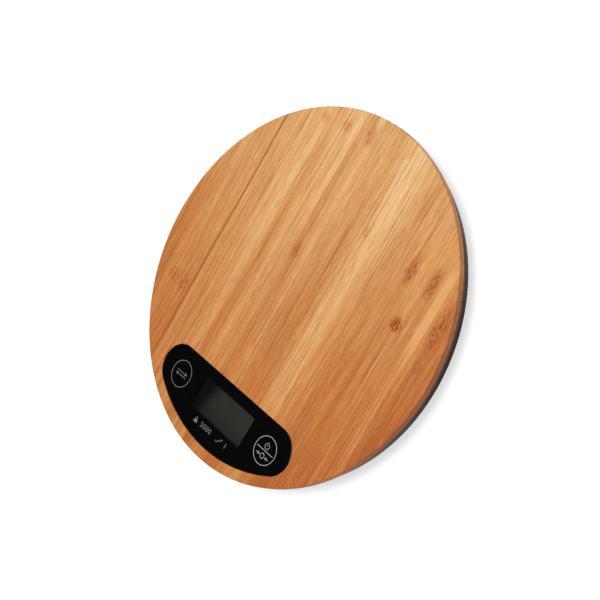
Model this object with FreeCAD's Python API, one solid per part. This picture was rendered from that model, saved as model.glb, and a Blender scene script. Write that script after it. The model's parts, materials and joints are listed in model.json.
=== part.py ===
import FreeCAD
import Part
import math
import os

# Round electronic kitchen scale, standing on its four feet.
# Frame: millimetres, +Z up, origin on the plane of the feet under the centre of the platform.
# The display is at -Y (the user's side) and +X is to the user's right.
#
# A thin bamboo platform carries a black display lens let in flush. A shallow plastic base is screwed
# to the underside of the bamboo. It holds the circuit board, the coin cell and four beam load cells.
# Each load cell bears on one foot through a steel button. The feet stand in holes in the base's
# floor and rise a little under load, so the whole weight passes through the load cells.

V = FreeCAD.Vector
os.makedirs("parts", exist_ok=True)

# ---------------------------------------------------------------- driving dimensions
PLATFORM_R = 95.0          # bamboo disc
PLATFORM_T = 4.0
TOTAL_H = 15.8             # feet plane to top face
WOOD_TOP_ROUND = 0.5
WOOD_BOTTOM_ROUND = 0.8

FLOOR_Z = 2.2              # underside of the base
FLOOR_T = 1.6
BASE_R_TOP = 93.5          # vertical band of the base under the bamboo
BASE_BAND_Z = 8.3          # lower edge of that band
BASE_R_BOTTOM = 91.4
BASE_WALL = 1.9
BASE_EDGE_ROUND = 1.1

LENS_CHORD_Y = -54.45      # straight edge of the lens
LENS_ARC_R = 89.3          # lower edge of the lens, concentric with the rim
LENS_END_R = 12.05         # rounded ends
LENS_T = 1.8
LENS_SINK = 0.1            # lens face below the bamboo face
LENS_GAP = 0.15
LEDGE_W = 3.2              # bamboo ledge under the lens edge
TAPE_T = 0.15
MASK_T = 0.15

WINDOW_W, WINDOW_H = 44.4, 17.8
WINDOW_Y = -69.1
KEY_X, KEY_Y = 35.65, -68.35

LCD_W, LCD_H, LCD_T = 46.0, 18.0, 2.4
LCD_STEP = 2.0             # the rear glass stands out by this much and carries the contacts
BOARD_T = 1.2
BOARD_Z = 6.6              # underside of the circuit board
BOARD_INSET = 2.0

FOOT_X, FOOT_Y = 60.0, 45.0
FOOT_R = 9.0
FOOT_HOLE_R = 9.4
FOOT_FLANGE_R = 10.6
PAD_R = 7.6
FOOT_TRAVEL = 0.4          # a foot rises this far before it is stopped
CELL_L, CELL_W, CELL_T = 32.0, 10.0, 3.0
CELL_Z = 6.3               # underside of the load cells

BAT_X, BAT_Y = 0.0, 12.0
COIN_R, COIN_T = 10.0, 3.2
COIN_Z = 4.0
DOOR_W, DOOR_L, DOOR_T = 33.6, 29.6, 1.4
DOOR_GAP = 0.3
HINGE_OUT = 1.5            # hinge axis beyond the door's edge
PIN_R, PIN_HOLE_R = 0.5, 0.56

PLATFORM_SCREWS = [(-40, 72), (40, 72), (-80, 0), (80, 0), (-20, -47.5), (20, -47.5)]
BOARD_SCREWS = [(-45.3, -66.5), (45.3, -66.5), (-30, -79.5), (30, -79.5)]
WIRE_R = 0.35

# ---------------------------------------------------------------- derived levels
WOOD_TOP = TOTAL_H
WOOD_BOT = TOTAL_H - PLATFORM_T
FLOOR_TOP = FLOOR_Z + FLOOR_T
LENS_TOP = WOOD_TOP - LENS_SINK
LENS_BOT = LENS_TOP - LENS_T
MASK_BOT = LENS_BOT - MASK_T
LEDGE_Z = MASK_BOT - TAPE_T
BOARD_TOP = BOARD_Z + BOARD_T
CELL_TOP = CELL_Z + CELL_T
DOOR_TOP = FLOOR_Z + DOOR_T
DOOR_Y0 = BAT_Y - DOOR_L / 2
DOOR_Y1 = BAT_Y + DOOR_L / 2
HINGE_Y = DOOR_Y0 - HINGE_OUT
UP = V(0, 0, 1)


# ---------------------------------------------------------------- helpers
def cyl(x, y, z0, z1, r):
    return Part.makeCylinder(r, z1 - z0, V(x, y, z0), UP)


def xcyl(x0, x1, y, z, r):
    return Part.makeCylinder(r, abs(x1 - x0), V(min(x0, x1), y, z), V(1, 0, 0))


def box(x0, x1, y0, y1, z0, z1):
    x0, x1 = min(x0, x1), max(x0, x1)
    return Part.makeBox(x1 - x0, y1 - y0, z1 - z0, V(x0, y0, z0))


def rounded_box(cx, cy, w, h, z0, z1, r):
    b = box(cx - w / 2, cx + w / 2, cy - h / 2, cy + h / 2, z0, z1)
    edges = [e for e in b.Edges
             if abs(e.Vertexes[0].X - e.Vertexes[1].X) < 1e-6 and abs(e.Vertexes[0].Y - e.Vertexes[1].Y) < 1e-6]
    return b.makeFillet(r, edges)


def union(shapes):
    s = shapes[0]
    if len(shapes) > 1:
        s = s.fuse(shapes[1:])
    return s.removeSplitter()


def lens_wire(inset, z):
    """Outline of the lens moved inwards by inset: a chord, two end arcs and an arc concentric with the rim."""
    re = LENS_END_R - inset
    ra = LENS_ARC_R - inset
    yc = LENS_CHORD_Y - LENS_END_R
    xc = math.sqrt((LENS_ARC_R - LENS_END_R) ** 2 - yc ** 2)
    yt = LENS_CHORD_Y - inset
    ux, uy = xc / math.hypot(xc, yc), yc / math.hypot(xc, yc)
    tx, ty = xc + re * ux, yc + re * uy
    am = (math.pi / 2 + math.atan2(uy, ux)) / 2
    mx, my = xc + re * math.cos(am), yc + re * math.sin(am)
    return Part.Wire([
        Part.LineSegment(V(-xc, yt, z), V(xc, yt, z)).toShape(),
        Part.Arc(V(xc, yt, z), V(mx, my, z), V(tx, ty, z)).toShape(),
        Part.Arc(V(tx, ty, z), V(0, -ra, z), V(-tx, ty, z)).toShape(),
        Part.Arc(V(-tx, ty, z), V(-mx, my, z), V(-xc, yt, z)).toShape(),
    ])


def lens_prism(inset, z0, z1):
    return Part.Face(lens_wire(inset, z0)).extrude(V(0, 0, z1 - z0))


def edges_at(shape, z, tol=1e-4):
    return [e for e in shape.Edges if abs(e.BoundBox.ZMin - z) < tol and abs(e.BoundBox.ZMax - z) < tol]


def cross_recess(x, y, z0, z1, size):
    w = size * 0.26
    return box(x - size / 2, x + size / 2, y - w / 2, y + w / 2, z0, z1).fuse(
        box(x - w / 2, x + w / 2, y - size / 2, y + size / 2, z0, z1))


def screw(x, y, z_seat, z_tip, head_r, head_h, shank_r):
    """Pan-head screw. Its head bears at z_seat; the shank runs to z_tip, above or below the seat."""
    up = 1 if z_tip > z_seat else -1
    z_head = z_seat - up * head_h
    head = cyl(x, y, min(z_seat, z_head), max(z_seat, z_head), head_r)
    head = head.makeFillet(head_h * 0.45, edges_at(head, z_head))
    z_point = z_tip - up * shank_r
    shank = cyl(x, y, min(z_seat, z_point), max(z_seat, z_point), shank_r)
    tip = Part.makeCone(shank_r, 0.25, shank_r, V(x, y, z_point), V(0, 0, up))
    s = union([head, shank, tip])
    a, b = z_head, z_head + up * head_h * 0.55
    return s.cut(cross_recess(x, y, min(a, b), max(a, b), head_r * 1.2))


def tube(points, r):
    """Round wire along straight runs joined by tangent arcs, each as large as its two runs allow."""
    p = [V(*q) for q in points]
    edges, start, radii = [], p[0], []
    for i in range(1, len(p) - 1):
        a, b = p[i - 1] - p[i], p[i + 1] - p[i]
        la, lb = a.Length, b.Length
        a.normalize()
        b.normalize()
        inner = a.getAngle(b)
        turn = math.pi - inner
        if turn < 1e-3:
            continue
        cut = 0.45 * min(la, lb)
        rad = cut * math.tan(inner / 2)
        radii.append(rad)
        s, e = p[i] + a * cut, p[i] + b * cut
        bis = a + b
        bis.normalize()
        mid = p[i] + bis * (cut / math.cos(inner / 2) - rad)
        edges.append(Part.LineSegment(start, s).toShape())
        edges.append(Part.Arc(s, mid, e).toShape())
        start = e
    edges.append(Part.LineSegment(start, p[-1]).toShape())
    path = Part.Wire(edges)
    d = p[1] - p[0]
    d.normalize()
    solid = path.makePipeShell([Part.Wire([Part.makeCircle(r, p[0], d)])], True, False)
    want = math.pi * r * r * path.Length
    if not solid.isValid() or abs(solid.Volume - want) > 0.02 * want or min(radii) < 1.5 * r:
        print("lead check: valid", solid.isValid(), "volume", solid.Volume, "expected", want, "bend", min(radii))
    return solid


NODES = {}


def put(name, shape):
    NODES[name] = Part.makeCompound(shape) if isinstance(shape, list) else shape


# ---------------------------------------------------------------- bamboo platform
wood = cyl(0, 0, WOOD_BOT, WOOD_TOP, PLATFORM_R)
wood = wood.makeFillet(WOOD_TOP_ROUND, edges_at(wood, WOOD_TOP))
wood = wood.makeFillet(WOOD_BOTTOM_ROUND, edges_at(wood, WOOD_BOT))
wood = wood.cut(lens_prism(-LENS_GAP, LEDGE_Z, WOOD_TOP + 1)).cut(lens_prism(LEDGE_W, WOOD_BOT - 1, WOOD_TOP))
pocket_edge = [e for e in edges_at(wood, WOOD_TOP)
               if e.BoundBox.YMax < LENS_CHORD_Y + 1 and e.BoundBox.YMin > -LENS_ARC_R - 1]
wood = wood.makeChamfer(0.2, pocket_edge)
for x, y in PLATFORM_SCREWS:
    wood = wood.cut(cyl(x, y, WOOD_BOT - 1, WOOD_BOT + 3.0, 1.4))
put("bamboo_platform", wood)

# ---------------------------------------------------------------- display
lens = lens_prism(0, LENS_BOT, LENS_TOP)
lens = lens.makeFillet(0.3, edges_at(lens, LENS_TOP))
put("display_lens", lens)

# opaque film behind the lens, with the clear window for the display
mask = lens_prism(0.15, MASK_BOT, LENS_BOT)
mask = mask.cut(rounded_box(0, WINDOW_Y, WINDOW_W, WINDOW_H, MASK_BOT - 1, LENS_BOT + 1, 0.7))
put("mask_film", mask)
put("lens_tape", lens_prism(0.3, LEDGE_Z, MASK_BOT).cut(lens_prism(LEDGE_W - 0.2, LEDGE_Z - 1, MASK_BOT + 1)))

# liquid-crystal cell: the rear glass stands out along the lower side
lcd_top = MASK_BOT - 0.2
lcd_mid, lcd_bot = lcd_top - LCD_T / 2, lcd_top - LCD_T
lcd_y0, lcd_y1 = WINDOW_Y - LCD_H / 2, WINDOW_Y + LCD_H / 2
put("lcd_glass", union([box(-LCD_W / 2, LCD_W / 2, lcd_y0, lcd_y1, lcd_mid, lcd_top),
                        box(-LCD_W / 2, LCD_W / 2, lcd_y0 - LCD_STEP, lcd_y1, lcd_bot, lcd_mid)]))

# plastic frame that holds the cell above the board; its two pegs reach through the board
frame = rounded_box(0, (lcd_y0 + lcd_y1 - LCD_STEP) / 2, LCD_W + 2.4, LCD_H + LCD_STEP + 2.2, BOARD_TOP, lcd_top - 0.3, 0.8)
frame = frame.cut(box(-LCD_W / 2 - 0.1, LCD_W / 2 + 0.1, lcd_y0 - LCD_STEP - 0.1, lcd_y1 + 0.1, lcd_bot, lcd_top + 1))
frame = frame.cut(box(-LCD_W / 2 + 1, LCD_W / 2 - 1, lcd_y0 + 1.2, lcd_y1 - 1, BOARD_TOP - 1, lcd_bot + 1))
zx, zy0, zy1 = LCD_W / 2 - 2.0, lcd_y0 - 1.6, lcd_y0 + 0.1
frame = frame.cut(box(-zx - 0.1, zx + 0.1, zy0 - 0.1, zy1 + 0.1, BOARD_TOP - 1, lcd_bot + 1))
frame_pegs = [(-LCD_W / 2 - 0.45, WINDOW_Y), (LCD_W / 2 + 0.45, WINDOW_Y)]
frame = union([frame] + [cyl(x, y, BOARD_Z - 0.6, BOARD_TOP + 0.5, 0.6) for x, y in frame_pegs])
put("lcd_frame", frame)
put("zebra_strip", box(-zx, zx, zy0, zy1, BOARD_TOP, lcd_bot))

board = lens_prism(BOARD_INSET, BOARD_Z, BOARD_TOP)
for x, y in BOARD_SCREWS:
    board = board.cut(cyl(x, y, BOARD_Z - 1, BOARD_TOP + 1, 1.35))
for x, y in frame_pegs:
    board = board.cut(cyl(x, y, BOARD_Z - 1, BOARD_TOP + 1, 0.65))
put("main_board", board)

# controller package with its leads along four sides, under the board
chip = [box(-5, 5, -74, -64, BOARD_Z - 1.5, BOARD_Z - 0.15)]
for i in range(8):
    o = -3.5 + i * 1.0
    for s in (-1, 1):
        chip.append(box(s * 4.9, s * 6.2, -69 + o - 0.2, -69 + o + 0.2, BOARD_Z - 0.45, BOARD_Z))
        y0, y1 = sorted((s * 4.9, s * 6.2))
        chip.append(box(o - 0.2, o + 0.2, -69 + y0, -69 + y1, BOARD_Z - 0.45, BOARD_Z))
put("controller_chip", union(chip))
put("board_parts", [box(x - w / 2, x + w / 2, y - h / 2, y + h / 2, BOARD_Z - t, BOARD_Z) for x, y, w, h, t in (
    (14, -66, 3.2, 1.6, 0.9), (14, -70, 3.2, 1.6, 0.9), (14, -74, 2.0, 1.2, 0.6), (-13, -66, 2.0, 1.2, 0.6),
    (-13, -69, 2.0, 1.2, 0.6), (-14, -75, 5.0, 2.2, 1.6), (20, -62, 3.2, 1.6, 0.9), (-20, -62, 3.2, 1.6, 0.9),
    (28, -70, 4.0, 3.0, 1.3), (-28, -69, 3.2, 1.6, 0.9))])


def coil(x, y, z0, z1, rm, rw, turns):
    h = z1 - z0 - 2 * rw
    helix = Part.makeHelix(h / turns, h, rm)
    helix.translate(V(x, y, z0 + rw))
    w = Part.Wire(helix.Edges)
    e = w.Edges[0]
    prof = Part.Wire([Part.makeCircle(rw, e.valueAt(e.FirstParameter), e.tangentAt(e.FirstParameter))])
    s = w.makePipeShell([prof], True, True)
    want = math.pi * rw * rw * w.Length
    if not s.isValid() or abs(s.Volume - want) > 0.03 * want:
        print("coil check: valid", s.isValid(), "volume", s.Volume, "expected", want)
    return s


# the touch keys have no travel: each is a coil spring that couples the board to the back of the lens
put("touch_spring_left", coil(-KEY_X, KEY_Y, BOARD_TOP + 0.03, MASK_BOT - 0.03, 3.5, 0.22, 5))
put("touch_spring_right", coil(KEY_X, KEY_Y, BOARD_TOP + 0.03, MASK_BOT - 0.03, 3.5, 0.22, 5))
put("board_screws", [screw(x, y, BOARD_TOP, 3.1, 2.0, 1.1, 0.9) for x, y in BOARD_SCREWS])

# ---------------------------------------------------------------- base housing


def base_section(inset, z0, z1):
    """Solid of revolution of the base's outer form, moved inwards by inset, between two levels."""
    rb, rt = BASE_R_BOTTOM - inset, BASE_R_TOP - inset
    k = (rt - rb) / (BASE_BAND_Z - FLOOR_Z)
    pts = [V(0, 0, z0), V(rb + k * (z0 - FLOOR_Z), 0, z0), V(rt, 0, BASE_BAND_Z), V(rt, 0, z1), V(0, 0, z1), V(0, 0, z0)]
    return Part.Face(Part.makePolygon(pts)).revolve(V(0, 0, 0), UP, 360)


outer = base_section(0, FLOOR_Z, WOOD_BOT)
outer = outer.makeFillet(BASE_EDGE_ROUND, edges_at(outer, FLOOR_Z))
outer = outer.makeFillet(0.5, edges_at(outer, WOOD_BOT))
shell = outer.cut(base_section(BASE_WALL, FLOOR_TOP, WOOD_BOT + 1))

adds = [cyl(x, y, FLOOR_TOP - 0.2, WOOD_BOT, 4.2) for x, y in PLATFORM_SCREWS]
adds += [cyl(x, y, FLOOR_TOP - 0.2, BOARD_Z, 2.6) for x, y in BOARD_SCREWS]
for sx in (-1, 1):
    for sy in (-1, 1):
        fx, fy = sx * FOOT_X, sy * FOOT_Y
        adds.append(cyl(fx, fy, FLOOR_TOP - 0.2, FLOOR_TOP + 0.4, FOOT_HOLE_R + 2.2))
        adds.append(box(sx * 33.4, sx * 44.6, fy - 5.6, fy + 5.6, FLOOR_TOP - 0.2, CELL_Z))
# battery compartment in two steps
adds.append(rounded_box(BAT_X, BAT_Y, DOOR_W + 7.0, DOOR_L + 8.0, FLOOR_Z, 5.4, 2.0))
adds.append(rounded_box(BAT_X, BAT_Y, 27.0, 27.0, FLOOR_Z, 9.3, 4.0))
RIB = 1.4
RIB_TOP = WOOD_BOT - 0.3
adds.append(box(-20, 20, -24 - RIB / 2, -24 + RIB / 2, FLOOR_TOP - 0.2, RIB_TOP))
adds.append(box(-22, 22, 44 - RIB / 2, 44 + RIB / 2, FLOOR_TOP - 0.2, RIB_TOP))
adds.append(box(-RIB / 2, RIB / 2, 30, 90.5, FLOOR_TOP - 0.2, RIB_TOP))
adds.append(box(-RIB / 2, RIB / 2, -50, -6.5, FLOOR_TOP - 0.2, RIB_TOP))
for s in (-1, 1):
    adds.append(box(s * 34, s * 90.5, -RIB / 2, RIB / 2, FLOOR_TOP - 0.2, RIB_TOP))
    adds.append(box(s * 34 - RIB / 2, s * 34 + RIB / 2, -18, 28, FLOOR_TOP - 0.2, RIB_TOP))
    adds.append(box(s * 22 - RIB / 2, s * 22 + RIB / 2, 44, 70, FLOOR_TOP - 0.2, RIB_TOP))
# hinge ears for the battery door
for s in (-1, 1):
    adds.append(xcyl(s * 10.8, s * 12.8, HINGE_Y, FLOOR_Z, 1.1))
base = union([shell] + adds)

cuts = []
for x, y in PLATFORM_SCREWS:
    cuts.append(cyl(x, y, FLOOR_Z - 1, 6.2, 2.9))
    cuts.append(cyl(x, y, 6.0, WOOD_BOT + 1, 1.5))
for x, y in BOARD_SCREWS:
    cuts.append(cyl(x, y, 2.9, BOARD_Z + 1, 0.95))
for sx in (-1, 1):
    for sy in (-1, 1):
        fx, fy = sx * FOOT_X, sy * FOOT_Y
        cuts.append(cyl(fx, fy, FLOOR_Z - 1, 6.0, FOOT_HOLE_R))
        for hx in (36.4, 41.6):
            cuts.append(cyl(sx * hx, fy, 2.9, CELL_Z + 1, 1.25))
# recess for the door, coin well, contact pockets and the slots for their tails
cuts.append(rounded_box(BAT_X, BAT_Y, DOOR_W + 2 * DOOR_GAP, DOOR_L + 2 * DOOR_GAP, FLOOR_Z - 1, DOOR_TOP + 0.15, 1.2))
cuts.append(cyl(BAT_X, BAT_Y, DOOR_TOP, 8.2, COIN_R + 0.5))
cuts.append(box(9.6, 12.2, BAT_Y - 4.1, BAT_Y + 4.1, DOOR_TOP, 8.2))
cuts.append(box(12.0, 14.5, BAT_Y - 1.3, BAT_Y + 1.3, 7.0, 8.2))
cuts.append(box(-14.5, -9.0, BAT_Y - 1.3, BAT_Y + 1.3, 7.4, 8.2))
for s in (-1, 1):
    cuts.append(box(s * 6.2, s * 10.8, HINGE_Y - 1.3, DOOR_Y0, FLOOR_Z - 1, FLOOR_Z + 1.3))
    cuts.append(xcyl(s * 10.6, s * 12.5, HINGE_Y, FLOOR_Z, PIN_HOLE_R))
# finger scoop at the free edge of the door, and the shallow bed of the rating label
cuts.append(Part.makeSphere(9.0, V(0, DOOR_Y1 + 2.3, FLOOR_Z - 8.3)))
cuts.append(rounded_box(0, 57, 44, 20, FLOOR_Z - 1, FLOOR_Z + 0.15, 1.5))
for c in cuts:
    base = base.cut(c)
put("base_housing", base.removeSplitter())
put("rating_label", rounded_box(0, 57, 43.6, 19.6, FLOOR_Z + 0.05, FLOOR_Z + 0.15, 1.3))
put("platform_screws", [screw(x, y, 6.2, WOOD_BOT + 2.7, 2.6, 1.8, 1.35) for x, y in PLATFORM_SCREWS])

# ---------------------------------------------------------------- battery, contacts and door
coin = cyl(BAT_X, BAT_Y, COIN_Z, COIN_Z + COIN_T - 0.5, COIN_R)
coin = coin.makeFillet(0.35, edges_at(coin, COIN_Z))
put("coin_cell", union([coin, cyl(BAT_X, BAT_Y, COIN_Z + 1, COIN_Z + COIN_T, COIN_R - 1.4)]))
put("positive_contact", union([
    box(11.4, 11.75, BAT_Y - 3.5, BAT_Y + 3.5, DOOR_TOP + 0.3, 7.8),
    box(10.02, 11.5, BAT_Y - 1.0, BAT_Y + 1.0, 5.0, 5.3),
    box(11.6, 16.0, BAT_Y - 1.0, BAT_Y + 1.0, 7.5, 7.8)]))
put("negative_contact", union([
    box(-16.0, 6.0, BAT_Y - 1.0, BAT_Y + 1.0, 7.65, 7.95),
    box(-6.0, 5.9, BAT_Y - 2.5, BAT_Y + 2.5, 7.65, 7.95),
    box(3.2, 5.9, BAT_Y - 1.8, BAT_Y + 1.8, COIN_Z + COIN_T + 0.02, 7.8)]))

door = [rounded_box(BAT_X, BAT_Y, DOOR_W, DOOR_L, FLOOR_Z, DOOR_TOP, 1.0)]
for s in (-1, 1):
    door.append(xcyl(s * 6.5, s * 10.5, HINGE_Y, FLOOR_Z, 0.95))
    door.append(box(s * 6.5, s * 10.5, HINGE_Y, DOOR_Y0 + 1.0, FLOOR_Z, FLOOR_Z + 0.95))
    door.append(xcyl(s * 10.4, s * 12.3, HINGE_Y, FLOOR_Z, PIN_R))
door = union(door)
# two slits free the latch tongue, which has a thumb ridge; grip lines cross the outside
for s in (-1, 1):
    door = door.cut(box(s * 4.0, s * 4.6, DOOR_Y1 - 6.5, DOOR_Y1 + 1, FLOOR_Z - 1, DOOR_TOP + 1))
door = door.cut(box(-4.2, 4.2, DOOR_Y1 - 6.5, DOOR_Y1 + 1, FLOOR_Z + 0.9, DOOR_TOP + 1))
for i in range(4):
    yy = DOOR_Y1 - 14.0 + i * 1.8
    door = door.cut(box(-7, 7, yy - 0.4, yy + 0.4, FLOOR_Z - 1, FLOOR_Z + 0.35))
door = union([door, box(-3.2, 3.2, DOOR_Y1 - 1.0, DOOR_Y1 - 0.3, FLOOR_Z - 0.4, FLOOR_Z + 0.5)])
put("battery_door", door)

# ---------------------------------------------------------------- load cells and feet
HAND = {"front_left": (-1, -1), "front_right": (1, -1), "back_left": (-1, 1), "back_right": (1, 1)}
seals, cell_screws, buttons = [], [], []
zc = CELL_Z + CELL_T / 2
for name, (sx, sy) in HAND.items():
    fx, fy = sx * FOOT_X, sy * FOOT_Y
    cell = rounded_box(sx * (34.0 + CELL_L / 2), fy, CELL_L, CELL_W, CELL_Z, CELL_TOP, 1.0)
    # flexure: two cross holes joined by a slot
    for hx in (47.2, 52.8):
        cell = cell.cut(Part.makeCylinder(1.05, CELL_W + 2, V(sx * hx, fy - CELL_W / 2 - 1, zc), V(0, 1, 0)))
    cell = cell.cut(box(sx * 47.2, sx * 52.8, fy - CELL_W / 2 - 1, fy + CELL_W / 2 + 1, zc - 0.4, zc + 0.4))
    for hx in (36.4, 41.6, 60.0):
        cell = cell.cut(cyl(sx * hx, fy, CELL_Z - 1, CELL_TOP + 1, 1.6))
    put("load_cell_" + name, cell)
    seal = rounded_box(sx * 50, fy, 8.6, 7.0, CELL_TOP, CELL_TOP + 0.8, 1.5)
    seals.append(seal.makeFillet(0.3, edges_at(seal, CELL_TOP + 0.8)))
    for hx in (36.4, 41.6):
        cell_screws.append(screw(sx * hx, fy, CELL_TOP, 3.1, 2.4, 1.1, 1.2))
    # steel button in the free end of the cell; its domed head bears on the foot
    head = cyl(fx, fy, CELL_Z - 0.8, CELL_Z, 2.6)
    head = head.makeFillet(0.5, edges_at(head, CELL_Z - 0.8))
    buttons.append(union([head, cyl(fx, fy, CELL_Z - 0.4, CELL_TOP + 0.4, 1.55)]))
    # foot: a flanged cup dropped into the floor from inside, with a rubber pad in its underside
    cup = union([cyl(fx, fy, 1.0, 4.6, FOOT_R), cyl(fx, fy, 4.3, 5.0, FOOT_FLANGE_R)])
    cup = cup.makeFillet(0.5, edges_at(cup, 1.0))
    cup = cup.cut(cyl(fx, fy, 0.0, 2.2, PAD_R + 0.02))
    cup = cup.cut(cyl(fx, fy, 3.5, 6.0, 7.4).cut(cyl(fx, fy, 3.0, 7.0, 3.2)))
    put("foot_cup_" + name, cup)
    pad = cyl(fx, fy, 0.0, 2.2, PAD_R)
    pad = pad.makeFillet(0.45, edges_at(pad, 0.0))
    pad = pad.cut(cyl(fx, fy, -1, 0.35, 5.2).cut(cyl(fx, fy, -2, 1, 4.2)))
    put("foot_pad_" + name, pad)
put("gauge_seals", seals)
put("cell_screws", cell_screws)
put("load_buttons", buttons)

# ---------------------------------------------------------------- leads inside the base
ZB = BOARD_TOP + WIRE_R + 0.03
for name, s, z in (("positive_lead", 1, 7.8 + WIRE_R + 0.02), ("negative_lead", -1, 7.95 + WIRE_R + 0.02)):
    put(name, tube([(s * 15.3, BAT_Y + 0.8, z), (s * 15.3, 6.0, z), (s * 17.0, -5.0, 6.6), (s * 25.9, -14.0, 4.8),
                    (s * 25.9, -42.0, 4.8), (s * 25.9, -52.0, 8.4), (s * 25.9, -56.4, 8.4), (s * 25.9, -58.6, ZB)], WIRE_R))
for name, (sx, sy) in HAND.items():
    wires = []
    for o in (-0.9, 0.0, 0.9):
        z = CELL_TOP + WIRE_R + 0.03
        if sy > 0:
            pts = [(50 + o, 41.5, z), (50 + o, 38.6, z), (50 + o, 34.0 - o, 6.0), (28.5 + o, 34.0 - o, 5.4),
                   (28.5 + o, 24.0, 4.6), (28.5 + o, -42.0, 4.6), (28.5 + o, -52.0, 8.4), (28.5 + o, -56.4, 8.4),
                   (28.5 + o, -58.6, ZB)]
        else:
            pts = [(50 + o, -48.5, z), (50 + o, -53.4 - o, z), (37 + o, -53.4 - o, 9.2), (37 + o, -56.8, 8.5),
                   (37 + o, -59.2, ZB)]
        wires.append(tube([(sx * a, b, c) for a, b, c in pts], WIRE_R))
    put("sensor_leads_" + name, wires)

# ---------------------------------------------------------------- write
for n, s in NODES.items():
    bad = [q for q in s.Solids if not q.isValid() or q.Volume <= 0]
    if bad or not s.Solids:
        print("PROBLEM", n, "solids", len(s.Solids), "bad", len(bad))
    s.exportStep(os.path.join("parts", n + ".step"))
print("nodes", len(NODES))
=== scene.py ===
import bpy
import bmesh
import json
import math
import random
from mathutils import Matrix, Vector


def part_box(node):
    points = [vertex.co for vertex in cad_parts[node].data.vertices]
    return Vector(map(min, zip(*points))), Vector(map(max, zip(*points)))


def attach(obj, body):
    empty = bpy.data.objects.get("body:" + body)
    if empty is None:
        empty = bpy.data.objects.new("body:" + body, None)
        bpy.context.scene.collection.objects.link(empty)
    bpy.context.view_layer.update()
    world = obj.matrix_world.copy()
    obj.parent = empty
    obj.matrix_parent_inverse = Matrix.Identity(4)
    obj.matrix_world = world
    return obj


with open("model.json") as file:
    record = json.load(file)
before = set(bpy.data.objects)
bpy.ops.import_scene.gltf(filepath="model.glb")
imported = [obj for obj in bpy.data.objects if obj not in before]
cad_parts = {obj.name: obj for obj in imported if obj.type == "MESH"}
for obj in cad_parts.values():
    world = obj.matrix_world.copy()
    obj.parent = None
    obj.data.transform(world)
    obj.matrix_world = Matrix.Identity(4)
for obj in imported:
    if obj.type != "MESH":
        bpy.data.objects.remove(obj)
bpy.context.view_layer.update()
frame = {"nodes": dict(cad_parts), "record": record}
nodes = frame["nodes"]
scene = bpy.context.scene
random.seed(7)

MM = 0.001
plat_lo, plat_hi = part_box("bamboo_platform")
lens_lo, lens_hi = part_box("display_lens")
lcd_lo, lcd_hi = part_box("lcd_glass")
spring_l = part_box("touch_spring_left")
spring_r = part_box("touch_spring_right")
R = (plat_hi.y - plat_lo.y) / 2
TOP = plat_hi.z
LENS_TOP = lens_hi.z
KEY_L = (spring_l[0] + spring_l[1]) / 2
KEY_R = (spring_r[0] + spring_r[1]) / 2


def lin(r, g, b):
    """Linear colour from an 8-bit display colour."""
    out = []
    for c in (r, g, b):
        c = c / 255.0
        out.append(c / 12.92 if c <= 0.04045 else ((c + 0.055) / 1.055) ** 2.4)
    return (*out, 1.0)


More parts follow.
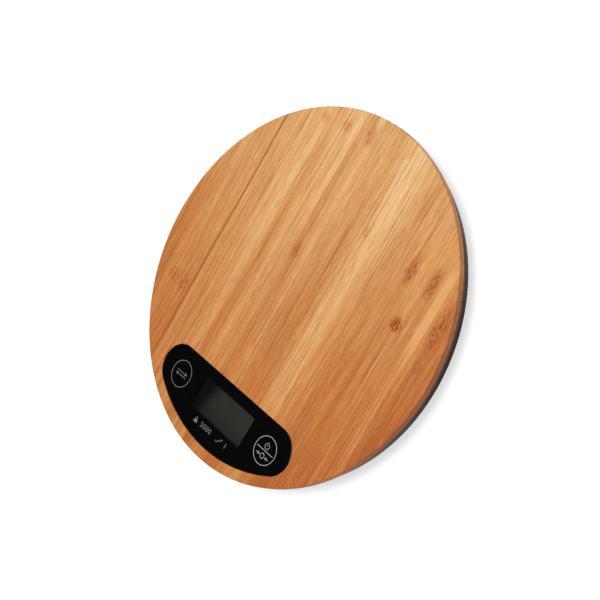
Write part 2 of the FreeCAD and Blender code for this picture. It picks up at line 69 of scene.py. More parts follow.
# ---------------------------------------------------------------- node helpers
class Graph:
    """A material's node tree, with short calls for the nodes used here. Coordinates are millimetres in the row frame."""

    def __init__(self, name):
        self.mat = bpy.data.materials.new(name)
        self.mat.use_nodes = True
        self.nt = self.mat.node_tree
        self.nt.nodes.clear()
        self.out = self.nt.nodes.new("ShaderNodeOutputMaterial")
        self.bsdf = self.nt.nodes.new("ShaderNodeBsdfPrincipled")
        self.nt.links.new(self.bsdf.outputs[0], self.out.inputs[0])
        tc = self.nt.nodes.new("ShaderNodeTexCoord")
        self.mm = self.vmath("SCALE", tc.outputs["Object"], scale=1000.0)
        self.x, self.y, self.z = self.split(self.mm)

    def link(self, a, b):
        self.nt.links.new(a, b)

    def put(self, sock, v):
        if isinstance(v, bpy.types.NodeSocket):
            self.nt.links.new(v, sock)
        else:
            sock.default_value = v

    def vmath(self, op, a, b=None, scale=None):
        n = self.nt.nodes.new("ShaderNodeVectorMath")
        n.operation = op
        self.put(n.inputs[0], a)
        if b is not None:
            self.put(n.inputs[1], b)
        if scale is not None:
            self.put(n.inputs["Scale"], scale)
        return n.outputs["Value"] if op in ("LENGTH", "DOT_PRODUCT", "DISTANCE") else n.outputs["Vector"]

    def split(self, v):
        n = self.nt.nodes.new("ShaderNodeSeparateXYZ")
        self.put(n.inputs[0], v)
        return n.outputs

    def vec(self, x, y, z):
        n = self.nt.nodes.new("ShaderNodeCombineXYZ")
        for s, v in zip(n.inputs, (x, y, z)):
            self.put(s, v)
        return n.outputs[0]

    def math(self, op, a, b=None, c=None, clamp=False):
        n = self.nt.nodes.new("ShaderNodeMath")
        n.operation = op
        n.use_clamp = clamp
        for s, v in zip(n.inputs, (a, b, c)):
            if v is not None:
                self.put(s, v)
        return n.outputs[0]

    def add(self, a, b):
        return self.math("ADD", a, b)

    def sub(self, a, b):
        return self.math("SUBTRACT", a, b)

    def mul(self, a, b):
        return self.math("MULTIPLY", a, b)

    def map(self, v, a, b, c=0.0, d=1.0, smooth=True):
        n = self.nt.nodes.new("ShaderNodeMapRange")
        n.interpolation_type = "SMOOTHSTEP" if smooth else "LINEAR"
        self.put(n.inputs[0], v)
        for i, q in zip((1, 2, 3, 4), (a, b, c, d)):
            self.put(n.inputs[i], q)
        return n.outputs[0]

    def noise(self, v, scale=1.0, detail=2.0, rough=0.5, distortion=0.0, colour=False):
        n = self.nt.nodes.new("ShaderNodeTexNoise")
        n.noise_dimensions = "3D"
        self.put(n.inputs["Vector"], v)
        n.inputs["Scale"].default_value = scale
        n.inputs["Detail"].default_value = detail
        n.inputs["Roughness"].default_value = rough
        n.inputs["Distortion"].default_value = distortion
        return n.outputs["Color"] if colour else n.outputs[0]

    def voronoi(self, v, scale=1.0, feature="F1", rand=1.0):
        n = self.nt.nodes.new("ShaderNodeTexVoronoi")
        n.feature = feature
        self.put(n.inputs["Vector"], v)
        n.inputs["Scale"].default_value = scale
        n.inputs["Randomness"].default_value = rand
        return n.outputs[0]

    def mix(self, fac, a, b, blend="MIX"):
        n = self.nt.nodes.new("ShaderNodeMix")
        n.data_type = "RGBA"
        n.blend_type = blend
        n.clamp_factor = True
        self.put(n.inputs[0], fac)
        self.put(n.inputs[6], a)
        self.put(n.inputs[7], b)
        return n.outputs[2]

    def ramp(self, fac, stops, interp="LINEAR"):
        n = self.nt.nodes.new("ShaderNodeValToRGB")
        n.color_ramp.interpolation = interp
        el = n.color_ramp.elements
        while len(el) > 1:
            el.remove(el[-1])
        for i, (p, c) in enumerate(stops):
            e = el[0] if i == 0 else el.new(p)
            e.position = p
            e.color = c if len(c) == 4 else (*c, 1.0)
        self.put(n.inputs[0], fac)
        return n.outputs[0]

    def sep(self, c):
        n = self.nt.nodes.new("ShaderNodeSeparateColor")
        self.put(n.inputs[0], c)
        return n.outputs

    def bump(self, height, strength=0.3, distance=0.1, normal=None):
        """distance is in millimetres."""
        n = self.nt.nodes.new("ShaderNodeBump")
        n.inputs["Strength"].default_value = strength
        n.inputs["Distance"].default_value = distance * MM
        self.put(n.inputs["Height"], height)
        if normal is not None:
            self.put(n.inputs["Normal"], normal)
        return n.outputs[0]

    def set(self, **kw):
        for k, v in kw.items():
            self.put(self.bsdf.inputs[k.replace("_", " ")], v)
        return self

    def done(self):
        return self.mat


# ---------------------------------------------------------------- bamboo
# Strips of the laminate, from left to right: left edge in mm, and lightness. They run front to back.
STRIPS = [
    (-96.0, 0.40), (-82.0, 0.50), (-74.5, 0.46), (-61.0, 0.53), (-50.0, 0.58), (-43.5, 0.64), (-34.3, 0.49),
    (-26.3, 0.65), (-22.2, 0.53), (-18.0, 0.64), (-14.0, 0.47), (-6.2, 0.59), (-1.6, 0.53), (5.8, 0.44),
    (14.0, 0.50), (18.6, 0.72), (30.2, 0.55), (38.2, 0.46), (42.2, 0.39), (46.0, 0.45), (50.4, 0.42),
    (66.0, 0.41), (74.2, 0.47), (79.2, 0.37), (82.6, 0.33), (86.8, 0.29),
]
# Growth nodes: x, y, half width, half length in mm, strength
KNOTS = [
    (-5.6, 83.6, 3.2, 6.0, 0.55), (-22.4, 82.6, 3.8, 3.4, 0.50), (-37.0, 81.0, 3.4, 3.2, 0.38),
    (55.2, 42.6, 3.2, 8.8, 0.90), (69.4, 42.4, 3.5, 9.0, 0.80), (62.9, 17.8, 3.7, 4.2, 1.70),
    (-10.7, 18.4, 2.8, 5.4, 0.75), (-75.0, -30.0, 4.2, 4.4, 0.60), (-66.5, -30.0, 4.0, 6.4, 0.66),
    (21.6, 44.6, 2.4, 3.2, 0.30), (84.6, 27.0, 4.0, 13.0, 0.90), (85.5, 8.0, 2.6, 5.0, 0.45),
]


def bamboo(name):
    g = Graph(name)
    t = g.math("DIVIDE", g.add(g.x, 96.0), 192.0)
    rnd = random.Random(11)
    strips = g.sep(g.ramp(t, [((x + 96.0) / 192.0, (l, rnd.random(), 0.5)) for x, l in STRIPS], "CONSTANT"))
    mids = [((STRIPS[i][0] + (STRIPS[i + 1][0] if i + 1 < len(STRIPS) else 96.0)) / 2 + 96.0) / 192.0 for i in range(len(STRIPS))]
    soft = g.sep(g.ramp(t, [(m, (l, l, l)) for m, (_, l) in zip(mids, STRIPS)], "EASE"))[0]
    light, seed = g.add(g.mul(strips[0], 0.65), g.mul(soft, 0.35)), strips[1]
    # each strip has its own piece of grain
    off = g.vec(g.mul(seed, 310.0), g.mul(seed, 730.0), g.mul(seed, 150.0))
    p = g.vmath("ADD", g.mm, off)
    # slow sideways wander of the fibres
    wander = g.noise(g.vmath("MULTIPLY", p, (0.02, 0.014, 0.02)), 1.0, 2.0, 0.5)
    wander = g.mul(g.sub(wander, 0.5), 2.4)
    px, py, pz = g.split(p)
    q = g.vec(g.add(px, wander), py, pz)
    broad = g.noise(g.vmath("MULTIPLY", q, (0.20, 0.0050, 0.20)), 1.0, 2.0, 0.5)
    mid = g.noise(g.vmath("MULTIPLY", q, (0.60, 0.012, 0.60)), 1.0, 3.0, 0.6)
    fine = g.noise(g.vmath("MULTIPLY", q, (1.7, 0.034, 1.7)), 1.0, 3.0, 0.62)
    hair = g.noise(g.vmath("MULTIPLY", q, (4.8, 0.11, 4.8)), 1.0, 2.0, 0.6)
    pores = g.noise(g.vmath("MULTIPLY", q, (2.6, 0.55, 2.6)), 1.0, 2.0, 0.6)
    patch = g.noise(g.vmath("MULTIPLY", p, (0.055, 0.030, 0.055)), 1.0, 3.0, 0.5)
    cloud = g.noise(g.vmath("MULTIPLY", g.mm, (0.020, 0.016, 0.020)), 1.0, 2.0, 0.5)

    # painted shade: the strips are made lighter towards the back and darker towards the front, more steeply towards the
    # right, standing in for light falling off across the top
    v = g.add(g.add(g.mul(light, 1.04), -0.018), g.mul(g.y, g.map(g.x, -20.0, 70.0, 0.0018, 0.0026)))
    for n, a in ((broad, 0.21), (mid, 0.25), (fine, 0.52), (hair, 0.46), (pores, 0.26), (patch, 0.24), (cloud, 0.16)):
        v = g.add(v, g.mul(g.sub(n, 0.5), a))
    base = g.ramp(v, [
        (0.00, lin(140, 76, 34)), (0.20, lin(172, 100, 48)), (0.35, lin(190, 119, 61)), (0.50, lin(204, 142, 83)),
        (0.65, lin(215, 162, 104)), (0.80, lin(225, 179, 121)), (1.00, lin(234, 197, 144))])
    # a redder, darker tint drifts in and out at random, and is painted stronger towards the user's side and the right
    # rim as painted shade, where light falls off across the top
    redder_tint_and_shade = g.add(g.mul(g.sub(patch, 0.5), 1.7), g.add(g.map(g.y, 60.0, -80.0, 0.10, 0.42), g.map(g.x, 40.0, 95.0, 0.0, 0.30)))
    base = g.mix(g.math("MAXIMUM", redder_tint_and_shade, 0.0), base, g.mix(1.0, base, lin(252, 230, 200), "MULTIPLY"))

    # vascular bundles: long thin dark lines that come and go, and sparse short dashes along the fibre
    thread = g.noise(g.vmath("MULTIPLY", q, (0.95, 0.007, 0.95)), 1.0, 2.0, 0.5)
    thread = g.map(g.math("ABSOLUTE", g.sub(thread, 0.5)), 0.0, 0.035, 1.0, 0.0)
    thread = g.mul(thread, g.map(pores, 0.38, 0.60, 0.15, 1.0))
    base = g.mix(g.mul(thread, g.map(broad, 0.40, 0.62, 0.42, 0.10)), base, lin(150, 84, 38))
    for scale, lo, hi, amount, tone in (((1.9, 0.017, 1.9), 0.585, 0.665, 0.52, lin(150, 88, 38)), ((3.0, 0.060, 3.0), 0.57, 0.70, 0.42, lin(148, 82, 35)),
                                        ((1.3, 0.012, 1.3), 0.60, 0.72, 0.20, lin(236, 198, 144)), ((4.0, 0.16, 4.0), 0.58, 0.70, 0.34, lin(140, 76, 30))):
        dash = g.map(g.noise(g.vmath("MULTIPLY", g.vmath("ADD", q, (scale[1] * 900.0, 0.0, 37.0 * scale[0])), scale), 1.0, 1.0, 0.5), lo, hi, 0.0, amount)
        base = g.mix(dash, base, tone)

    # one pale, smooth stretch of a strip near the right rim
    pale = g.mul(g.map(g.math("ABSOLUTE", g.sub(g.x, 76.7)), 2.1, 2.7, 1.0, 0.0), g.mul(g.map(g.y, -2.0, 24.0, 0.0, 1.0), g.map(g.y, 48.0, 60.0, 1.0, 0.0)))
    base = g.mix(g.mul(pale, 0.58), base, lin(228, 172, 110))

    # growth nodes: a reddish patch with short dark strokes that fan out a little
    knots = None
    warp = g.noise(g.vmath("MULTIPLY", g.mm, (0.60, 0.28, 0.60)), 1.0, 2.0, 0.5, colour=True)
    warp = g.vmath("SCALE", g.vmath("SUBTRACT", warp, (0.5, 0.5, 0.5)), scale=2.6)
    wx, wy, wz = g.split(g.vmath("ADD", g.mm, warp))
    for kx, ky, kw, kh, ks in KNOTS:
        dx = g.math("DIVIDE", g.sub(wx, kx), kw)
        dy = g.math("DIVIDE", g.sub(wy, ky), kh)
        d = g.math("SQRT", g.add(g.mul(dx, dx), g.mul(dy, dy)))
        m = g.mul(g.map(d, 0.30, 1.25, 1.0, 0.0), ks)
        knots = m if knots is None else g.math("MAXIMUM", knots, m)
    flecks = g.noise(g.vmath("MULTIPLY", g.vmath("ADD", g.mm, g.vmath("SCALE", warp, scale=0.35)), (1.45, 0.40, 1.45)), 1.0, 2.0, 0.6)
    flecks = g.map(flecks, 0.46, 0.60, 0.0, 1.0)
    kmask = g.mul(knots, flecks)
    base = g.mix(g.mul(knots, 0.66), base, lin(186, 102, 47))
    base = g.mix(g.mul(kmask, 0.84), base, lin(112, 54, 18))

    # glue lines between the strips
    line = None
    for x, _ in STRIPS[1:]:
        d = g.math("ABSOLUTE", g.sub(g.x, x))
        m = g.map(d, 0.06, 0.26, 1.0, 0.0)
        line = m if line is None else g.math("MAXIMUM", line, m)
    base = g.mix(g.mul(line, g.map(patch, 0.35, 0.6, 0.04, 0.26)), base, lin(146, 86, 42))
    d = g.math("ABSOLUTE", g.add(g.x, 60.9))
    base = g.mix(g.mul(g.map(d, 0.25, 1.1, 1.0, 0.0), 0.66), base, lin(146, 80, 34))

    # the rim is cut across the fibres, with end-grain dots, and sealed with lacquer; its side is painted darker than
    # the top as painted shade, for a face turned away from the light
    geo = g.nt.nodes.new("ShaderNodeNewGeometry")
    nx, ny, nz = g.split(geo.outputs["Normal"])
    up = g.math("ABSOLUTE", nz)
    side = g.map(up, 0.25, 0.90, 1.0, 0.0)
    dots = g.voronoi(g.vmath("MULTIPLY", g.mm, (1.6, 0.3, 1.6)), 1.0)
    dots = g.map(dots, 0.12, 0.42, 1.0, 0.0)
    ends = g.mul(side, g.map(g.math("ABSOLUTE", ny), 0.3, 0.9, 0.0, 1.0))
    # painted shade: the rim's side is multiplied darker than the top face
    base = g.mix(g.mul(side, 0.92), base, g.mix(1.0, base, lin(206, 186, 156), "MULTIPLY"))
    base = g.mix(g.mul(g.mul(ends, dots), 0.30), base, lin(86, 46, 22))
    height = g.add(g.mul(fine, 0.55), g.add(g.mul(hair, 0.5), g.mul(line, -0.5)))
    g.set(Base_Color=base)
    g.set(Roughness=g.add(0.47, g.add(g.mul(g.sub(fine, 0.5), 0.16), g.mul(kmask, 0.10))))
    g.set(Normal=g.bump(height, 0.22, 0.10))
    g.bsdf.inputs["Specular IOR Level"].default_value = 0.18
    return g.done()


# ---------------------------------------------------------------- plastics, metals and the rest
def speckle(g, base, amount=0.25, scale=0.08):
    """Slow uneven tone, as handling and moulding leave."""
    n = g.noise(g.vmath("SCALE", g.mm, scale=scale), 1.0, 3.0, 0.55)
    k = g.map(n, 0.3, 0.7, 1.0 - amount, 1.0 + amount * 0.4)
    return g.mix(1.0, base, g.vec(k, k, k), "MULTIPLY"), n


def plastic(name, colour, rough=0.45, grain=0.0, grain_mm=0.35, spec=0.5, tone=0.2):
    g = Graph(name)
    base, slow = speckle(g, colour, tone)
    g.set(Base_Color=base)
    tex = g.noise(g.vmath("SCALE", g.mm, scale=1.0 / grain_mm), 1.0, 2.0, 0.55)
    smear = g.noise(g.vmath("MULTIPLY", g.mm, (0.05, 0.21, 0.3)), 1.0, 3.0, 0.6)
    g.set(Roughness=g.add(rough, g.add(g.mul(g.sub(smear, 0.5), 0.14), g.mul(g.sub(slow, 0.5), 0.08))))
    if grain:
        g.set(Normal=g.bump(tex, grain, 0.05))
    g.bsdf.inputs["Specular IOR Level"].default_value = spec
    return g.done()


def rubber(name, colour):
    g = Graph(name)
    base, slow = speckle(g, colour, 0.3, 0.2)
    dust = g.noise(g.vmath("SCALE", g.mm, scale=0.9), 1.0, 4.0, 0.7)
    g.set(Base_Color=g.mix(g.map(dust, 0.55, 0.8, 0.0, 0.22), base, lin(92, 90, 86)))
    g.set(Roughness=g.add(0.72, g.mul(g.sub(dust, 0.5), 0.2)))
    g.set(Normal=g.bump(g.noise(g.vmath("SCALE", g.mm, scale=2.6), 1.0, 2.0, 0.6), 0.3, 0.05))
    return g.done()


def metal(name, colour, rough=0.3, axis=(0.15, 6.0, 6.0), bump=0.08, tarnish=0.12):
    g = Graph(name)
    lines = g.noise(g.vmath("MULTIPLY", g.mm, axis), 1.0, 3.0, 0.6)
    spots = g.noise(g.vmath("SCALE", g.mm, scale=0.5), 1.0, 4.0, 0.65)
    k = g.map(lines, 0.25, 0.75, 0.86, 1.06)
    base = g.mix(1.0, colour, g.vec(k, k, k), "MULTIPLY")
    g.set(Base_Color=g.mix(g.map(spots, 0.5, 0.8, 0.0, tarnish), base, lin(120, 112, 98)))
    g.bsdf.inputs["Metallic"].default_value = 1.0
    g.set(Roughness=g.add(rough, g.mul(g.sub(lines, 0.5), 0.22)))
    g.set(Normal=g.bump(lines, bump, 0.03))
    return g.done()


def board_material(name):
    """Green solder mask over copper: tracks show as slightly lighter lines, pads as tinned dots."""
    g = Graph(name)
    grid = g.vmath("MULTIPLY", g.mm, (0.9, 0.9, 0.0))
    cell = g.voronoi(grid, 0.55, "DISTANCE_TO_EDGE", 0.55)
    tracks = g.map(cell, 0.05, 0.09, 1.0, 0.0)
    pads = g.map(g.voronoi(grid, 0.5, "F1", 0.8), 0.13, 0.17, 1.0, 0.0)
    n = g.noise(g.vmath("SCALE", g.mm, scale=0.2), 1.0, 2.0, 0.5)
    green = g.mix(n, lin(14, 74, 40), lin(20, 92, 50))
    base = g.mix(g.mul(tracks, 0.55), green, lin(40, 126, 70))
    base = g.mix(pads, base, lin(196, 198, 190))
    g.set(Base_Color=base, Roughness=g.add(0.32, g.mul(pads, 0.1)), Normal=g.bump(tracks, 0.2, 0.04))
    return g.done()


# ---------------------------------------------------------------- lens and display
# Clear window in the print, in mm: centre x, centre y, half width, half height
WINDOW = (-0.2, -68.75, 20.6, 8.5)
BEHIND = (0.0, -69.1, 22.4, 9.0)


def window_mask(g, win, soft=0.12, r=0.7):
    """1 inside a rounded window."""
    cx, cy, hw, hh = win
    ax = g.math("MAXIMUM", g.sub(g.math("ABSOLUTE", g.sub(g.x, cx)), hw - r), 0.0)
    ay = g.math("MAXIMUM", g.sub(g.math("ABSOLUTE", g.sub(g.y, cy)), hh - r), 0.0)
    d = g.math("SQRT", g.add(g.mul(ax, ax), g.mul(ay, ay)))
    return g.map(d, r - soft, r + soft, 1.0, 0.0)


def lens_material(name):
    """Polished acrylic, printed black except at the window, where it lets the display show."""
    g = Graph(name)
    front = g.map(g.z, 14.4, 14.8, 0.0, 1.0)
    win = g.mix(front, g.vec(*[window_mask(g, BEHIND)] * 3), g.vec(*[window_mask(g, WINDOW)] * 3))
    clear = g.mul(g.sep(win)[0], g.map(front, 0.0, 1.0, 1.0, 0.30))
    wipes = g.noise(g.vmath("MULTIPLY", g.mm, (0.05, 0.16, 0.1)), 1.0, 4.0, 0.6)
    dust = g.noise(g.vmath("SCALE", g.mm, scale=2.2), 1.0, 3.0, 0.7)
    dust = g.map(dust, 0.72, 0.82, 0.0, 1.0)
    g.set(Base_Color=g.mix(g.mul(dust, 0.04), g.mix(wipes, lin(5, 5, 6), lin(10, 10, 11)), lin(110, 110, 110)))
    g.set(Roughness=g.add(0.07, g.add(g.mul(wipes, 0.07), g.mul(dust, 0.1))))
    g.set(Alpha=g.sub(1.0, clear))
    g.bsdf.inputs["IOR"].default_value = 1.49
    g.bsdf.inputs["Specular IOR Level"].default_value = 0.42
    return g.done()


def lcd_material(name):
    """Liquid-crystal cell, off: dull olive grey, with painted shade darkening its left end and bottom, and a painted
    reflection lightening its right end.
    """
    g = Graph(name)
    n = g.noise(g.vmath("MULTIPLY", g.mm, (0.05, 0.08, 0.05)), 1.0, 2.0, 0.5)
    # painted shade on the left end and towards the bottom, painted reflection towards the right
    slant = g.sub(g.x, g.mul(g.add(g.y, 69.0), 0.32))
    tone = g.map(slant, -17.0, -7.5, 0.13, 0.92)
    tone = g.mul(tone, g.map(g.x, -12.0, 20.0, 0.94, 1.10, smooth=False))
    tone = g.mul(tone, g.map(g.y, -76.0, -68.0, 0.74, 1.0))
    tone = g.mul(tone, g.map(n, 0.2, 0.8, 0.94, 1.05))
    base = g.mix(1.0, lin(148, 152, 136), g.vec(tone, tone, tone), "MULTIPLY")
    # digit cells, barely darker than the ground
    u = g.math("FRACT", g.math("DIVIDE", g.add(g.x, 19.0), 7.6))
    seg = g.mul(g.map(g.math("ABSOLUTE", g.sub(u, 0.5)), 0.30, 0.34, 1.0, 0.0),
                g.map(g.math("ABSOLUTE", g.sub(g.y, WINDOW[1])), 5.2, 5.6, 1.0, 0.0))
    hole = g.mul(g.map(g.math("ABSOLUTE", g.sub(u, 0.5)), 0.17, 0.21, 1.0, 0.0),
                 g.map(g.math("ABSOLUTE", g.sub(g.math("ABSOLUTE", g.sub(g.y, WINDOW[1])), 2.6)), 1.7, 2.0, 1.0, 0.0))
    base = g.mix(g.mul(g.sub(seg, g.mul(seg, hole)), 0.05), base, lin(40, 42, 36))
    g.set(Base_Color=base, Roughness=g.add(0.30, g.mul(n, 0.08)))
    g.bsdf.inputs["Specular IOR Level"].default_value = 0.3
    return g.done()


def ink_material(name, colour):
    g = Graph(name)
    n = g.noise(g.vmath("SCALE", g.mm, scale=3.5), 1.0, 2.0, 0.6)
    g.set(Base_Color=g.mix(g.map(n, 0.35, 0.7, 0.0, 0.35), colour, g.mix(1.0, colour, lin(180, 180, 180), "MULTIPLY")))
    g.set(Roughness=g.add(0.38, g.mul(n, 0.12)))
    return g.done()


BLACK_PLASTIC = lin(17, 17, 18)
MATS = {
    "bamboo": bamboo("bamboo_laminate"),
    "lens": lens_material("lens_acrylic"),
    "mask": plastic("mask_print", lin(7, 7, 8), 0.35, 0.05, 0.4),
    "tape": plastic("tape_foam", lin(60, 60, 60), 0.8, 0.5, 0.3),
    "lcd": lcd_material("lcd_cell"),
    "frame_plastic": plastic("frame_white_plastic", lin(226, 226, 220), 0.5, 0.12, 0.5),
    "silicone": plastic("zebra_silicone", lin(196, 140, 142), 0.55, 0.3, 0.2),
    "board": board_material("board_solder_mask"),
    "chip": plastic("chip_epoxy", lin(30, 30, 32), 0.6, 0.4, 0.15),
    "small_parts": plastic("part_bodies", lin(140, 118, 92), 0.5, 0.3, 0.2, tone=0.4),
    "spring_steel": metal("spring_plated", (0.72, 0.72, 0.72, 1), 0.18, (2.0, 2.0, 6.0)),
    "screw_steel": metal("screw_zinc", (0.60, 0.61, 0.63, 1), 0.30, (3.0, 3.0, 1.0), 0.15, 0.3),
    "button_steel": metal("button_turned", (0.55, 0.55, 0.56, 1), 0.26, (3.0, 3.0, 8.0), 0.1, 0.2),
    "base_plastic": None,
    "door_plastic": None,
    "label": None,
    "cell_can": metal("cell_nickel", (0.66, 0.66, 0.66, 1), 0.22, (4.0, 0.2, 4.0), 0.06),
    "contact_metal": metal("contact_nickel", (0.68, 0.66, 0.60, 1), 0.25, (0.3, 5.0, 5.0), 0.08),
    "cell_aluminium": metal("load_cell_aluminium", (0.74, 0.75, 0.76, 1), 0.36, (0.25, 5.0, 5.0), 0.18, 0.05),
    "sealant": plastic("gauge_sealant", lin(228, 228, 222), 0.4, 0.5, 1.2),
    "foot_plastic": plastic("foot_plastic_black", lin(22, 22, 23), 0.5, 0.35, 0.4),
    "foot_rubber": rubber("foot_rubber_black", lin(30, 30, 30)),
    "lead_red": plastic("lead_red_sleeve", lin(170, 24, 22), 0.4, 0.05),
    "lead_black": plastic("lead_black_sleeve", lin(20, 20, 20), 0.4, 0.05),
    "lead_grey": plastic("lead_grey_sleeve", lin(150, 150, 154), 0.4, 0.05),
}


def base_material(name, door=False):
    """Black ABS: a satin ring face under the platform, painted pale brown-grey as a painted highlight; polished below
    it, spark-eroded on the floor that faces the worktop.
    """
    g = Graph(name)
    own = g.nt.nodes.new("ShaderNodeTexCoord")
    nx, ny, nz = g.split(own.outputs["Normal"])      # the piece's own axes, so the door keeps its finish when it opens
    floor = g.map(g.mul(nz, -1.0), 0.80, 0.97, 0.0, 1.0)
    r = g.math("SQRT", g.add(g.mul(g.x, g.x), g.mul(g.y, g.y)))
    highlight_band = g.mul(g.map(r, 92.6, 93.1, 0.0, 1.0), g.map(g.z, 8.3, 8.7, 0.0, 1.0))
    tex = g.noise(g.vmath("SCALE", g.mm, scale=2.2), 1.0, 2.0, 0.6)
    base, slow = speckle(g, lin(22, 15, 12), 0.25, 0.03)
    # painted highlight: the face just under the platform is painted pale brown-grey, standing in for a line of
    # reflected light
    base = g.mix(g.mul(highlight_band, 0.9), base, lin(112, 80, 62))
    grit = g.noise(g.vmath("SCALE", g.mm, scale=1.1), 1.0, 3.0, 0.7)
    base = g.mix(floor, base, g.mix(grit, lin(34, 34, 34), lin(54, 53, 52)))
    scuff = g.noise(g.vmath("MULTIPLY", g.mm, (0.12, 0.5, 0.3)), 1.0, 5.0, 0.7)
    base = g.mix(g.mul(g.map(scuff, 0.62, 0.78, 0.0, 0.14), floor), base, lin(70, 69, 68))
    g.set(Base_Color=base)
    rough = g.add(0.16, g.add(g.mul(floor, 0.34), g.mul(highlight_band, 0.16)))
    g.set(Roughness=g.add(rough, g.mul(g.sub(scuff, 0.5), 0.12)))
    g.set(Normal=g.bump(g.mul(tex, floor), 0.5, 0.07))
    g.bsdf.inputs["IOR"].default_value = 1.04
    return g.done()


def label_material(name):
    """Blank silver-grey polyester label with a thin printed border."""
    g = Graph(name)
    brushed = g.noise(g.vmath("MULTIPLY", g.mm, (0.08, 6.0, 1.0)), 1.0, 3.0, 0.6)
    lo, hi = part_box("rating_label")
    cx, cy = (lo.x + hi.x) * 500, (lo.y + hi.y) * 500
    hw, hh = (hi.x - lo.x) * 500, (hi.y - lo.y) * 500
    dx = g.sub(hw, g.math("ABSOLUTE", g.sub(g.x, cx)))
    dy = g.sub(hh, g.math("ABSOLUTE", g.sub(g.y, cy)))
    d = g.math("MINIMUM", dx, dy)
    border = g.map(g.math("ABSOLUTE", g.sub(d, 1.2)), 0.14, 0.22, 1.0, 0.0)
    base = g.mix(brushed, lin(186, 188, 190), lin(206, 208, 209))
    g.set(Base_Color=g.mix(g.mul(border, 0.85), base, lin(40, 40, 42)), Roughness=g.add(0.36, g.mul(brushed, 0.15)))
    return g.done()


MATS["base_plastic"] = base_material("base_abs_black")
MATS["door_plastic"] = base_material("door_abs_black")
MATS["label"] = label_material("label_polyester")

slot_of = {s["node"]: s["material_slot"] for s in frame["record"]["subparts"]}
for name, obj in nodes.items():
    m = MATS[slot_of[name]]
    obj.data.materials.clear()
    obj.data.materials.append(m)


# ---------------------------------------------------------------- printed marks on the lens
INK_Z0, INK_Z1 = LENS_TOP + 0.004 * MM, LENS_TOP + 0.022 * MM
ink_bright = ink_material("ink_light_grey", lin(186, 190, 188))
ink_ring = ink_material("ink_ring_grey", lin(136, 138, 137))
ink_dim = ink_material("ink_mid_grey", lin(150, 152, 152))
ink_faint = ink_material("ink_faint_grey", lin(112, 114, 114))


def plate(name, loops, mat):
    """Thin flat print from closed outlines in mm. Each entry of loops is one closed outline."""
    bm = bmesh.new()
    for strip in loops:
        lower = [bm.verts.new((x * MM, y * MM, INK_Z0)) for x, y in strip]
        upper = [bm.verts.new((x * MM, y * MM, INK_Z1)) for x, y in strip]
        bm.faces.new(upper)
        bm.faces.new(lower[::-1])
        n = len(strip)
        for i in range(n):
            j = (i + 1) % n
            bm.faces.new((lower[i], lower[j], upper[j], upper[i]))
    bmesh.ops.recalc_face_normals(bm, faces=bm.faces)
    me = bpy.data.meshes.new(name)
    bm.to_mesh(me)
    bm.free()
    ob = bpy.data.objects.new(name, me)
    scene.collection.objects.link(ob)
    me.materials.append(mat)
    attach(ob, "scale")
    return ob


def ring_mesh(name, cx, cy, r, w, mat, a0=0.0, a1=2 * math.pi, n=96):
    """A ring, or an arc of one, of line width w."""
    bm = bmesh.new()
    full = abs(a1 - a0 - 2 * math.pi) < 1e-6
    cols = []
    for i in range(n if full else n + 1):
        a = a0 + (a1 - a0) * i / n
        c, s = math.cos(a), math.sin(a)
        cols.append([bm.verts.new(((cx + rr * c) * MM, (cy + rr * s) * MM, z))
                     for rr, z in ((r - w / 2, INK_Z0), (r + w / 2, INK_Z0), (r + w / 2, INK_Z1), (r - w / 2, INK_Z1))])
    m = len(cols)
    for i in range(m if full else m - 1):
        a, b = cols[i], cols[(i + 1) % m]
        for k in range(4):
            bm.faces.new((a[k], a[(k + 1) % 4], b[(k + 1) % 4], b[k]))
    if not full:
        bm.faces.new(cols[0])
        bm.faces.new(cols[-1][::-1])
    bmesh.ops.recalc_face_normals(bm, faces=bm.faces)
    me = bpy.data.meshes.new(name)
    bm.to_mesh(me)
    bm.free()
    ob = bpy.data.objects.new(name, me)
    scene.collection.objects.link(ob)
    me.materials.append(mat)
    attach(ob, "scale")
    return ob


def bar(x0, y0, x1, y1, w):
    """Outline of a straight stroke from one point to another."""
    d = Vector((x1 - x0, y1 - y0)).normalized()
    n = Vector((-d.y, d.x)) * (w / 2)
    return [(x0 + n.x, y0 + n.y), (x1 + n.x, y1 + n.y), (x1 - n.x, y1 - n.y), (x0 - n.x, y0 - n.y)]


def numerals(name, text, cx, cy, cap, mat, spread=1.0):
    """Numerals in the built-in face, as a thin mesh centred on a point."""
    cu = bpy.data.curves.new(name + "_outline", "FONT")
    cu.body = text
    cu.align_x = "CENTER"
    cu.align_y = "CENTER"
    cu.size = cap / 0.70 * MM
    cu.space_character = spread
    cu.extrude = (INK_Z1 - INK_Z0) / 2
    cu.resolution_u = 4
    tmp = bpy.data.objects.new(name + "_tmp", cu)
    scene.collection.objects.link(tmp)
    tmp.location = (cx * MM, cy * MM, (INK_Z0 + INK_Z1) / 2)
    bpy.context.view_layer.update()
    dg = bpy.context.evaluated_depsgraph_get()
    me = bpy.data.meshes.new_from_object(tmp.evaluated_get(dg))
    me.name = name
    me.transform(tmp.matrix_world)
    bpy.data.objects.remove(tmp)
    ob = bpy.data.objects.new(name, me)
    scene.collection.objects.link(ob)
    me.materials.clear()
    me.materials.append(mat)
    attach(ob, "scale")
    return ob


kl, kr = KEY_L * 1000, KEY_R * 1000
kr.y -= 0.35
RING_R = 7.10
ring_mesh("print_ring_left", kl.x, kl.y, RING_R - 0.1, 0.25, ink_ring)
ring_mesh("print_ring_right", kr.x, kr.y, RING_R, 0.26, ink_bright)
plate("print_divider", [bar(kr.x - 5.9, kr.y - 0.1, kr.x + 5.9, kr.y - 0.1, 0.26)], ink_bright)

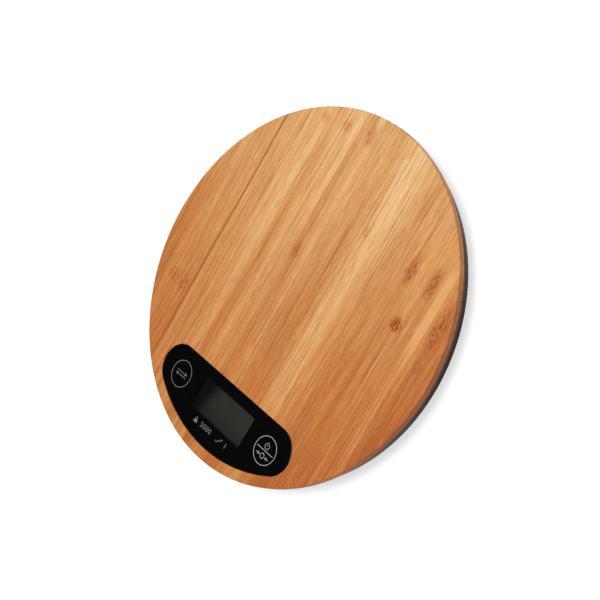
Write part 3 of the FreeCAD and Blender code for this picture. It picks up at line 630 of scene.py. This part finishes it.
# right key: power mark over the line, zero between two arrows under it
ring_mesh("print_power_arc", kr.x, kr.y + 2.35, 1.45, 0.34, ink_dim, math.radians(125), math.radians(415), 40)
plate("print_power_bar", [bar(kr.x, kr.y + 2.5, kr.x, kr.y + 4.4, 0.34)], ink_dim)
zy = kr.y - 2.9
ring_mesh("print_zero", kr.x, zy, 1.25, 0.36, ink_dim, n=40)
plate("print_zero_arrows", [
    bar(kr.x - 4.6, zy, kr.x - 3.1, zy, 0.34), [(kr.x - 3.3, zy + 0.85), (kr.x - 3.3, zy - 0.85), (kr.x - 1.9, zy)],
    bar(kr.x + 4.6, zy, kr.x + 3.1, zy, 0.34), [(kr.x + 3.3, zy - 0.85), (kr.x + 3.3, zy + 0.85), (kr.x + 1.9, zy)]], ink_dim)
# left key: two opposed arrows for the change of unit
ly = kl.y
plate("print_swap_arrows", [
    bar(kl.x - 3.9, ly + 0.85, kl.x + 2.6, ly + 0.85, 0.32), [(kl.x + 2.4, ly + 1.75), (kl.x + 2.4, ly + 0.0), (kl.x + 4.1, ly + 0.85)],
    bar(kl.x + 3.9, ly - 0.85, kl.x - 2.6, ly - 0.85, 0.32), [(kl.x - 2.4, ly - 1.75), (kl.x - 2.4, ly + 0.0), (kl.x - 4.1, ly - 0.85)]], ink_faint)
# range row: a weight and its largest reading, a step and its size
ry = -81.1
plate("print_weight_icon", [[(-13.2, ry - 1.35), (-10.2, ry - 1.35), (-10.75, ry + 0.55), (-12.65, ry + 0.55)]], ink_faint)
ring_mesh("print_weight_eye", -11.7, ry + 0.95, 0.52, 0.28, ink_faint, n=28)
numerals("print_range_numerals", "5000", -3.4, ry, 2.7, ink_faint, 1.16)
plate("print_step_icon", [bar(5.7, ry - 1.2, 7.5, ry - 1.2, 0.34), bar(7.34, ry - 1.2, 7.34, ry + 0.05, 0.34),
                          bar(7.2, ry, 9.0, ry, 0.34), bar(8.84, ry, 8.84, ry + 1.2, 0.34), bar(8.7, ry + 1.15, 10.3, ry + 1.15, 0.34)], ink_faint)
numerals("print_step_numeral", "1", 13.1, ry, 2.7, ink_faint, 1.0)

# ---------------------------------------------------------------- stage, light, camera
floor_mesh = bpy.data.meshes.new("floor")
S = 6.0
floor_mesh.from_pydata([(-S, -S, 0), (S, -S, 0), (S, S, 0), (-S, S, 0)], [], [(0, 1, 2, 3)])
floor = bpy.data.objects.new("floor", floor_mesh)
scene.collection.objects.link(floor)
fg = Graph("floor_pale")
n = fg.noise(fg.vmath("SCALE", fg.mm, scale=0.002), 1.0, 2.0, 0.5)
fg.set(Base_Color=fg.mix(n, (0.53, 0.53, 0.53, 1), (0.55, 0.55, 0.55, 1)))
# a light table: the floor glows a little, so shadows stay pale
fg.bsdf.inputs["Emission Color"].default_value = (1, 1, 1, 1)
fg.bsdf.inputs["Emission Strength"].default_value = 0.64
fg.bsdf.inputs["Roughness"].default_value = 0.9
fg.bsdf.inputs["Specular IOR Level"].default_value = 0.1
floor_mesh.materials.append(fg.done())

LIGHT = 0.80
world = bpy.data.worlds.new("studio")
scene.world = world
world.use_nodes = True
wn = world.node_tree
wn.nodes.clear()
wout = wn.nodes.new("ShaderNodeOutputWorld")
bg = wn.nodes.new("ShaderNodeBackground")
tc = wn.nodes.new("ShaderNodeTexCoord")
sx = wn.nodes.new("ShaderNodeSeparateXYZ")
wr = wn.nodes.new("ShaderNodeValToRGB")
wn.links.new(tc.outputs["Generated"], sx.inputs[0])
wn.links.new(sx.outputs[2], wr.inputs[0])
el = wr.color_ramp.elements
el[0].position, el[0].color = 0.0, (0.93, 0.93, 0.93, 1)
el[1].position, el[1].color = 0.60, (0.24, 0.24, 0.245, 1)
e = el.new(0.18); e.color = (0.84, 0.84, 0.84, 1)
e = el.new(1.0); e.color = (0.40, 0.40, 0.40, 1)
# a black flag on one side of the ceiling keeps the glossy panel dark
flag = wn.nodes.new("ShaderNodeVectorMath")
flag.operation = "DOT_PRODUCT"
wn.links.new(tc.outputs["Generated"], flag.inputs[0])
flag.inputs[1].default_value = Vector((-0.64, -0.15, 0.755)).normalized()
fm = wn.nodes.new("ShaderNodeMapRange")
fm.interpolation_type = "SMOOTHSTEP"
wn.links.new(flag.outputs["Value"], fm.inputs[0])
fm.inputs[1].default_value, fm.inputs[2].default_value = 0.84, 0.95
fm.inputs[3].default_value, fm.inputs[4].default_value = 1.0, 0.04
mul = wn.nodes.new("ShaderNodeMath")
mul.operation = "MULTIPLY"
wn.links.new(fm.outputs[0], mul.inputs[0])
mul.inputs[1].default_value = 0.80 * LIGHT
wn.links.new(wr.outputs[0], bg.inputs[0])
wn.links.new(mul.outputs[0], bg.inputs[1])
wn.links.new(bg.outputs[0], wout.inputs[0])


def area(name, loc, size, power, target=(0, 0, 0.01), colour=(1, 1, 1)):
    li = bpy.data.lights.new(name, "AREA")
    li.shape = "DISK"
    li.size = size
    li.energy = power * LIGHT
    li.color = colour
    ob = bpy.data.objects.new(name, li)
    scene.collection.objects.link(ob)
    ob.location = loc
    ob.rotation_mode = "QUATERNION"
    ob.rotation_quaternion = (Vector(target) - Vector(loc)).to_track_quat("-Z", "Y")
    return ob


area("top_light", (0.10, 0.10, 1.8), 1.1, 34.0)
area("key_light", (-0.35, 0.75, 1.35), 0.7, 5.0)

scene.view_settings.view_transform = "Standard"
scene.view_settings.look = "None"
scene.view_settings.exposure = 0.0

cam_data = bpy.data.cameras.new("camera")
cam = bpy.data.objects.new("camera", cam_data)
scene.collection.objects.link(cam)
cam_data.sensor_width = 36.0
cam_data.lens = 76.65
cam_data.clip_start = 0.01
cam_data.clip_end = 50.0
RP = 0.095
loc = Vector((4.1432 * RP, 1.0018 * RP, TOP + 4.9582 * RP))
right = Vector((0.6182562, 0.498507, -0.607659))
back = Vector((0.6263129, 0.1546231, 0.7640837))
up = back.cross(right)
rot = Matrix((right, up, back)).transposed()
cam.matrix_world = Matrix.Translation(loc) @ rot.to_4x4()
scene.camera = cam
